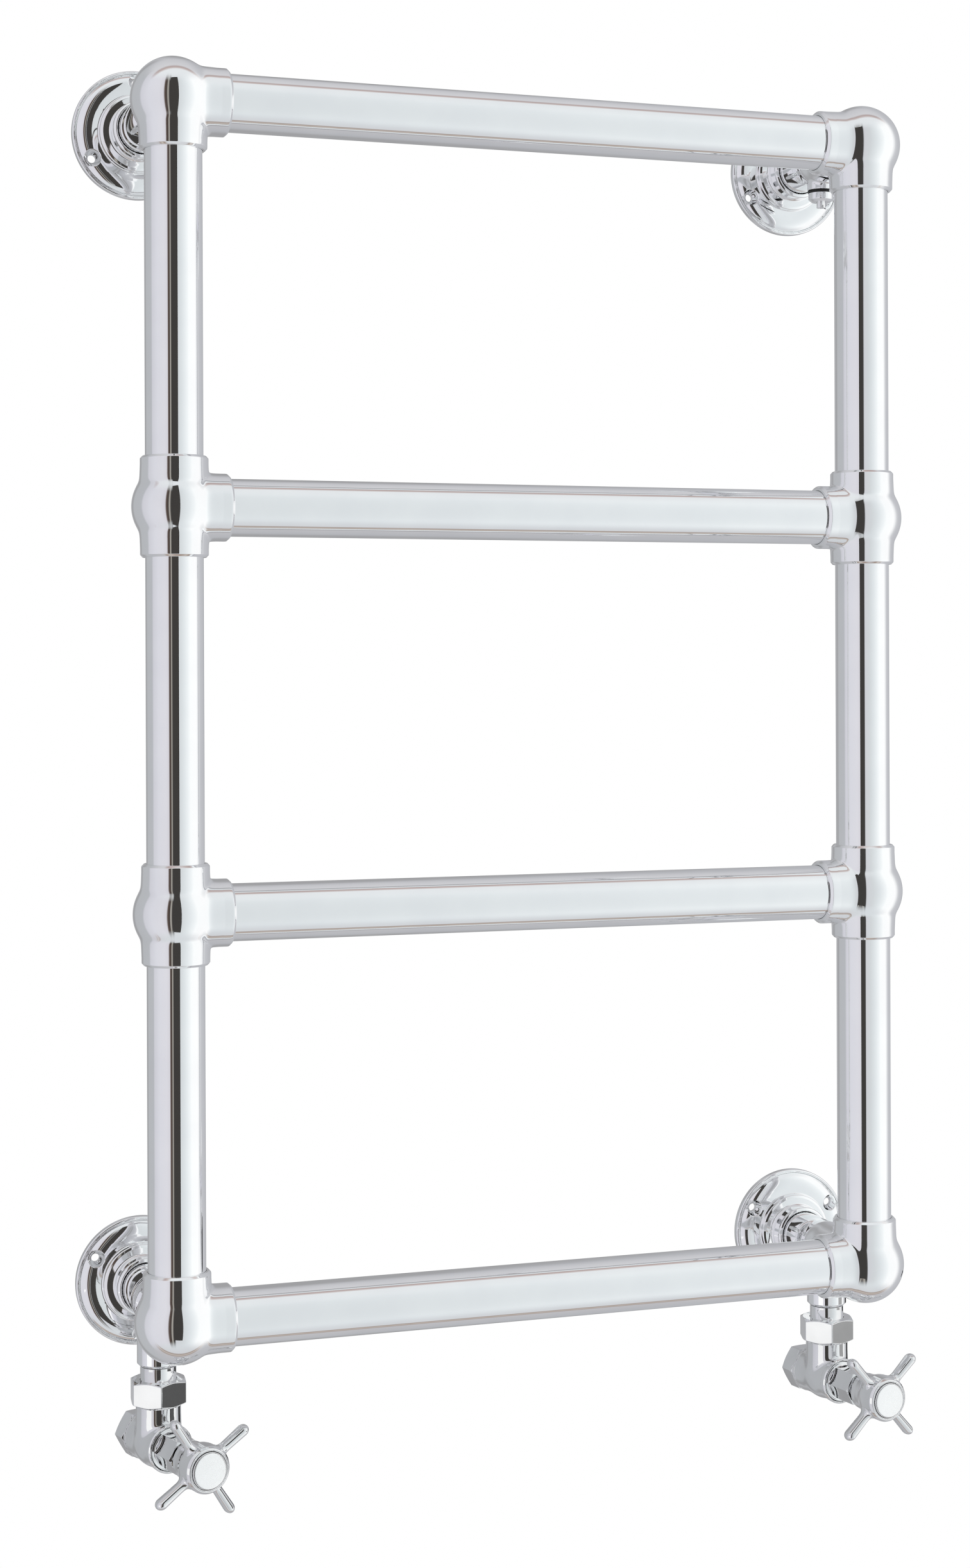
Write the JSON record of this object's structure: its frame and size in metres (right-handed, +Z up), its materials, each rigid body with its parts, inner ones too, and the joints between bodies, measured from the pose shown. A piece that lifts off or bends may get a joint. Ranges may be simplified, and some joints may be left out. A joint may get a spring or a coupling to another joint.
{
  "type": "towel radiator with valves",
  "caption": "Wall-hung chrome towel radiator: round tubes joined by cast balls, screwed wall flanges, an air vent, and angle valves with crosshead handles.",
  "frame": {"origin": "on the wall's face, midway between the two uprights, level with the axis of the lowest bar", "axes": "+Z up along the uprights, +Y into the wall, +X across to the right as seen from the room"},
  "size_m": [0.5898, 0.1541, 0.9745],
  "materials": {
    "polished_chrome": "mirror-polished chrome plate on brass tube and castings",
    "valve_chrome": "polished chrome plate on brass valve castings, slightly greyer than the tubes",
    "satin_chrome": "chrome plate with a softer, paler polish on flat discs and the bleed screw",
    "brass": "turned bare brass",
    "steel": "turned stainless steel",
    "rubber": "black rubber seal"
  },
  "bodies": {
    "radiator": {"left_bottom_corner": "polished_chrome", "left_lower_tee": "polished_chrome", "left_upper_tee": "polished_chrome", "left_top_corner": "polished_chrome", "left_lower_upright": "polished_chrome", "left_middle_upright": "polished_chrome", "left_upper_upright": "polished_chrome", "right_bottom_corner": "polished_chrome", "right_lower_tee": "polished_chrome", "right_upper_tee": "polished_chrome", "right_top_corner": "polished_chrome", "right_lower_upright": "polished_chrome", "right_middle_upright": "polished_chrome", "right_upper_upright": "polished_chrome", "bottom_bar": "polished_chrome", "lower_bar": "polished_chrome", "upper_bar": "polished_chrome", "top_bar": "polished_chrome", "left_bottom_arm": "polished_chrome", "left_bottom_flange": "polished_chrome", "left_bottom_grub_screw": "steel", "left_top_arm": "polished_chrome", "left_top_flange": "polished_chrome", "left_top_grub_screw": "steel", "right_bottom_arm": "polished_chrome", "right_bottom_flange": "polished_chrome", "right_bottom_grub_screw": "steel", "right_top_arm": "polished_chrome", "right_top_flange": "polished_chrome", "right_top_grub_screw": "steel", "vent_seal": "rubber", "vent_plug": "polished_chrome", "left_tail": "valve_chrome", "left_union_nut": "valve_chrome", "left_valve_body": "valve_chrome", "left_compression_nut": "valve_chrome", "left_olive": "brass", "left_bonnet": "valve_chrome", "left_gland_nut": "valve_chrome", "right_tail": "valve_chrome", "right_union_nut": "valve_chrome", "right_valve_body": "valve_chrome", "right_compression_nut": "valve_chrome", "right_olive": "brass", "right_bonnet": "valve_chrome", "right_gland_nut": "valve_chrome"},
    "left_handle": {"left_crosshead": "valve_chrome", "left_handle_cap": "satin_chrome", "left_handle_screw": "steel", "left_spindle": "brass"},
    "left_jumper_set": {"left_jumper": "brass", "left_seat_washer": "rubber"},
    "right_handle": {"right_crosshead": "valve_chrome", "right_handle_cap": "satin_chrome", "right_handle_screw": "steel", "right_spindle": "brass"},
    "right_jumper_set": {"right_jumper": "brass", "right_seat_washer": "rubber"},
    "bleed_screw": {"vent_screw": "satin_chrome"}
  },
  "joints": [
    {"name": "left_handle_turn", "type": "hinge", "parent": "radiator", "child": "left_handle", "pos_m": [-0.25, -0.065, -0.096], "axis": [0.2419, -0.9703, 0], "range_deg": [0, 1080]},
    {"name": "left_jumper_travel", "type": "slide", "parent": "radiator", "child": "left_jumper_set", "axis": [0.2419, -0.9703, 0], "range_m": [0, 0.00601]},
    {"name": "right_handle_turn", "type": "hinge", "parent": "radiator", "child": "right_handle", "pos_m": [0.25, -0.065, -0.096], "axis": [0.1564, -0.9877, 0], "range_deg": [0, 1080]},
    {"name": "right_jumper_travel", "type": "slide", "parent": "radiator", "child": "right_jumper_set", "axis": [0.1564, -0.9877, 0], "range_m": [0, 0.00601]},
    {"name": "bleed_screw_turn", "type": "hinge", "parent": "radiator", "child": "bleed_screw", "pos_m": [0.25, -0.062, 0.8], "axis": [0, 0, -1], "range_deg": [0, 540]}
  ],
  "couplings": [
    {"joint": "left_jumper_travel", "follows": "left_handle_turn", "m_per_rad": 0.00031831},
    {"joint": "right_jumper_travel", "follows": "right_handle_turn", "m_per_rad": 0.00031831}
  ]
}
